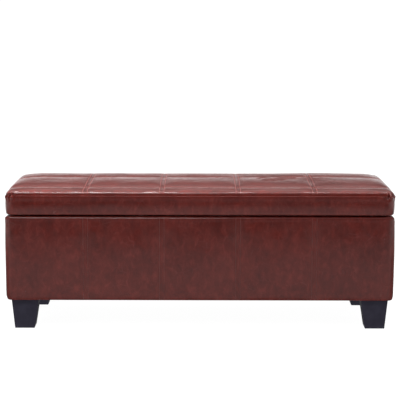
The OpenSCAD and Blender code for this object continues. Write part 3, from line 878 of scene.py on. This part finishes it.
def stitch_mesh(name, paths, seed, material):
    """Every stitch of a seam family as a small bowed strand whose ends dip into the leather."""
    rng = np.random.default_rng(seed)
    rows = [stitches_along(path, rng) for path in paths if len(path) > 3]
    centres, runs, facings = [np.vstack(part) for part in zip(*rows)]
    runs /= np.linalg.norm(runs, axis=1)[:, None]
    sides = np.cross(facings, runs)
    sides /= np.linalg.norm(sides, axis=1)[:, None]
    facings = np.cross(runs, sides)
    around = THREAD_SIDES
    local = []
    for along, width, lift in STITCH_STATIONS:
        for k in range(around):
            a = 2 * math.pi * k / around
            local.append((along * STITCH_LENGTH / 2, THREAD_RADIUS * width * math.cos(a) * 1.1,
                          THREAD_RADIUS * (lift + width * math.sin(a) * 0.85)))
    local = np.array(local)
    tilt = rng.normal(0, 0.05, len(centres))
    points = (centres[:, None, :]
              + local[None, :, 0:1] * (runs + sides * tilt[:, None])[:, None, :]
              + local[None, :, 1:2] * sides[:, None, :]
              + local[None, :, 2:3] * facings[:, None, :]).reshape(-1, 3)
    pattern = [tuple(range(around - 1, -1, -1))]
    for r in range(len(STITCH_STATIONS) - 1):
        for k in range(around):
            m = (k + 1) % around
            pattern.append((r * around + k, r * around + m, (r + 1) * around + m, (r + 1) * around + k))
    last = (len(STITCH_STATIONS) - 1) * around
    pattern.append(tuple(range(last, last + around)))
    size = len(local)
    faces = [tuple(i + s * size for i in face) for s in range(len(centres)) for face in pattern]
    return new_piece(name, points, faces, material)


def section_rays(fixed, axis, reach, roll, level):
    """Rays in a section across the lid: up one roll, along the top and down the other roll."""
    def place(u, z):
        return (fixed, u, z) if axis == "y" else (u, fixed, z)

    rays = []
    for sign in (-1, 1):
        arc = []
        for k in range(14):
            a = math.radians(6 + 84 * k / 14)
            centre = place(sign * (reach - roll), level)
            inward, down = -sign * math.cos(a), -math.sin(a)
            aim = (0, inward, down) if axis == "y" else (inward, 0, down)
            start = tuple(c - 0.06 * d for c, d in zip(centre, aim))
            arc.append((start, aim))
        flat = np.linspace(reach - roll, 0, 60)
        arc += [(place(sign * u, lid_high.z + 0.05), (0, 0, -1)) for u in flat]
        rays.append(arc)
    return rays[0] + list(reversed(rays[1][:-1]))


def lid_stitching(piece):
    """A stitch row on each side of every seam of the top. Also gives the surface, for the boxing."""
    surface = Surface(piece)
    level = lid_high.z - LID_TOP_RISE
    seams = [(x, "y", HALF_D, level) for x in COLUMN_SEAMS]
    seams += [(y, "x", HALF_L, level - END_DROOP[1] * 0.6) for y in ROW_SEAMS]
    paths = []
    for place, axis, reach, height in seams:
        for side in (-1, 1):
            rays = section_rays(place + side * STITCH_ROW, axis, reach, LID_TOP_ROLL, height)
            paths.append(surface.path(rays))
    return stitch_mesh("lid_seam_stitches", paths, 5, THREAD), surface


def boxing_stitching(surface):
    """The two rows that follow the boxing seam round the lid."""
    columns = perimeter(np.linspace(-HALF_L + LID_CORNER, HALF_L - LID_CORNER, 320),
                        np.linspace(-HALF_D + LID_CORNER, HALF_D - LID_CORNER, 100), 14)
    paths = []
    for lift in BOXING_ROWS:
        rays = []
        for x, y, nx, ny in columns:
            px, py = x + nx * LID_CORNER, y + ny * LID_CORNER
            level = BOXING_Z + lift - float(fall(np.array([[px, py]]))[0])
            rays.append(((px + nx * RAY_START, py + ny * RAY_START, level), (-nx, -ny, 0)))
        paths.append(surface.path(rays + rays[:1]))
    return stitch_mesh("lid_boxing_stitches", paths, 6, THREAD)


def box_stitching(piece):
    """A stitch row on each side of every upright seam, front and rear."""
    surface = Surface(piece)
    levels = np.linspace(BOX_BOTTOM + 4 * MM, BOX_TOP - 5 * MM, 60)
    paths = []
    for face in (-1, 1):
        start_y = face * (BOX_D + RAY_START)
        for x in COLUMN_SEAMS:
            for side in (-1, 1):
                row_x = x + side * STITCH_ROW
                paths.append(surface.path([((row_x, start_y, z), (0, -face, 0)) for z in levels]))
    return stitch_mesh("box_seam_stitches", paths, 7, BOX_THREAD)


# ---------------------------------------------------------------- legs

LEG_EASING = 2.2 * MM


def leg_piece(node):
    """Tapered block leg with eased edges, on the CAD leg's own corners."""
    points = coords(nodes[node])
    low, high = points.min(0), points.max(0)
    foot = points[points[:, 2] < low[2] + 1 * MM]
    head = points[points[:, 2] > high[2] - 1 * MM]
    corners = []
    for level in (foot, head):
        a, b = level.min(0), level.max(0)
        corners += [(a[0], a[1], a[2]), (b[0], a[1], a[2]), (b[0], b[1], a[2]), (a[0], b[1], a[2])]
    mesh = bpy.data.meshes.new(node + "_block")
    sides = [(k, (k + 1) % 4, (k + 1) % 4 + 4, k + 4) for k in range(4)]
    mesh.from_pydata(corners, [], [(3, 2, 1, 0), (4, 5, 6, 7)] + sides)
    bm = bmesh.new()
    bm.from_mesh(mesh)
    bmesh.ops.bevel(bm, geom=bm.edges[:] + bm.verts[:], offset=LEG_EASING, segments=3,
                    affect="EDGES", profile=0.6)
    bmesh.ops.recalc_face_normals(bm, faces=bm.faces)
    bm.to_mesh(mesh)
    bm.free()
    piece = new_object(node + "_block", mesh)
    mesh.materials.append(LEG)
    smooth_shaded(mesh)
    mesh.set_sharp_from_angle(angle=math.radians(38))
    return piece


# ---------------------------------------------------------------- put together

lid_cushion = cushion()
lid_stitches, lid_surface = lid_stitching(lid_cushion)
boxing_stitches = boxing_stitching(lid_surface)
cover = box_cover()
box_stitches = box_stitching(cover)

for piece in (lid_cushion, lid_stitches, boxing_stitches):
    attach(piece, "lid")
for piece in (cover, box_stitches):
    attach(piece, "box")
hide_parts("lid_cover", "lid_foam", "lid_edge_foam")
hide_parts("body_cover")

for name in ("front_left_leg", "front_right_leg", "rear_left_leg", "rear_right_leg"):
    leg = leg_piece(name)
    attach(leg, "box")
    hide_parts(name)


# ---------------------------------------------------------------- camera, lights, floor

# The camera stands this far in front of the lid's front edge and this high, in metres. It looks
# down by one angle and leans by the other, in degrees.
CAMERA_BACK = 5.004
CAMERA_HEIGHT = 1.225
CAMERA_DOWN = 8.98
CAMERA_ROLL = 0.13
CAMERA_LENS = 140


def area_light(name, place, size, power, aim=None):
    """Soft box at a place, facing straight down unless it has an aim."""
    light = bpy.data.lights.new(name, "AREA")
    light.shape = "RECTANGLE"
    light.size, light.size_y = size
    light.energy = power
    lamp = new_object(name, light)
    lamp.location = place
    if aim is not None:
        lamp.rotation_euler = (Vector(aim) - Vector(place)).to_track_quat("-Z", "Y").to_euler()


# Brightness of the surroundings by height: (0 at the horizon, 1 overhead; brightness).
SKY_PEAK = 1.5
SKY_BEHIND = [
    (0.0, 1.5), (0.045, 1.1), (0.085, 0.38), (0.13, 0.20), (0.20, 0.09),
    (0.32, 0.25), (0.50, 0.8), (0.75, 1.0), (1.0, 1.3),
]
SKY_FRONT = [(0.0, 0.5), (0.06, 0.13), (0.60, 0.13), (0.85, 0.5), (1.0, 1.3)]


def sky_ramp(tree, height, stops):
    """Grey for a height, as a share of the peak, which the background's strength restores."""
    made = tree.nodes.new("ShaderNodeValToRGB")
    tree.links.new(height, made.inputs["Fac"])
    fill_ramp(made.color_ramp, [(z, (grey / SKY_PEAK,) * 3 + (1,)) for z, grey in stops])
    return made.outputs["Color"]


def studio_world():
    """Pale backdrop behind the bench, darker room in front of it and overhead."""
    world = bpy.data.worlds.new("studio")
    bpy.context.scene.world = world
    world.use_nodes = True
    tree = world.node_tree
    background = tree.nodes["Background"]
    place = tree.nodes.new("ShaderNodeTexCoord")
    split = tree.nodes.new("ShaderNodeSeparateXYZ")
    tree.links.new(place.outputs["Generated"], split.inputs[0])
    behind = sky_ramp(tree, split.outputs["Z"], SKY_BEHIND)
    front = sky_ramp(tree, split.outputs["Z"], SKY_FRONT)
    turn = tree.nodes.new("ShaderNodeMapRange")
    turn.interpolation_type = "SMOOTHSTEP"
    tree.links.new(split.outputs["Y"], turn.inputs["Value"])
    turn.inputs["From Min"].default_value = -0.25
    turn.inputs["From Max"].default_value = 0.55
    blend = tree.nodes.new("ShaderNodeMix")
    blend.data_type = "RGBA"
    tree.links.new(turn.outputs["Result"], blend.inputs["Factor"])
    colours = [s for s in blend.inputs if s.type == "RGBA"]
    tree.links.new(front, colours[0])
    tree.links.new(behind, colours[1])
    tree.links.new(next(s for s in blend.outputs if s.type == "RGBA"), background.inputs["Color"])
    background.inputs["Strength"].default_value = SKY_PEAK


def flat_plane(name, x, y0, y1, z):
    """A level rectangle of the set, as wide as x on each side."""
    mesh = bpy.data.meshes.new(name)
    mesh.from_pydata([(-x, y0, z), (x, y0, z), (x, y1, z), (-x, y1, z)], [], [(0, 1, 2, 3)])
    plane = new_object(name, mesh)
    return plane


def glowing(name, diffuse, glow):
    """Matt grey that also gives off light."""
    n = Nodes(name)
    n.finish((diffuse, diffuse, diffuse, 1), 0.9, Specular_IOR_Level=0.0)
    n.shader.inputs["Emission Color"].default_value = (1, 1, 1, 1)
    n.shader.inputs["Emission Strength"].default_value = glow
    return n.material


def reflected_card(name, y0, y1, glow):
    """A card just over the floor that only reflections show: its glow is a painted reflection, darker
    than the floor, in the glossy pieces.
    """
    card = flat_plane(name, 2.3, y0, y1, 12 * MM)
    card.data.materials.append(glowing(name, 0.0, glow))
    card.visible_camera = False
    card.visible_diffuse = False
    card.visible_shadow = False


def studio():
    """Pale floor and backdrop, soft boxes, and the camera of the photograph."""
    bpy.context.scene.view_settings.view_transform = "Standard"
    studio_world()
    floor = flat_plane("floor", 40, -40, 40, 0)
    floor.data.materials.append(glowing("floor", 0.16, 0.98))
    # Painted reflections: the cards in front darken the floor's reflection in the leather, and the card
    # under the bench paints the shade under it into the leather's reflections.
    reflected_card("far_card", -9.0, -2.05, 0.0)
    reflected_card("near_card", -2.05, -0.45, 0.70)
    reflected_card("under_bench_shade_card", -0.45, 0.25, 0.25)

    area_light("overhead", (-0.25, -0.1, 2.3), (3.0, 0.17), 52)
    area_light("overhead_left", (-0.55, -0.1, 2.29), (0.9, 0.17), 38)
    area_light("top_front", (-0.75, -1.9, 2.3), (1.6, 0.25), 26, (-0.75, -0.23, 0.4))
    area_light("left", (-3.8, -2.6, 1.9), (0.6, 0.6), 16, (0, 0, 0.3))
    area_light("right", (3.8, -2.6, 1.9), (0.6, 0.6), 14, (0, 0, 0.3))

    camera = new_object("camera", bpy.data.cameras.new("camera"))
    camera.location = (0.0, -HALF_D - CAMERA_BACK, CAMERA_HEIGHT)
    tilt = Matrix.Rotation(math.radians(90 - CAMERA_DOWN), 3, "X")
    roll = Matrix.Rotation(math.radians(CAMERA_ROLL), 3, "Z")
    camera.rotation_euler = (tilt @ roll).to_euler()
    camera.data.sensor_width = 36
    camera.data.lens = CAMERA_LENS
    bpy.context.scene.camera = camera


studio()
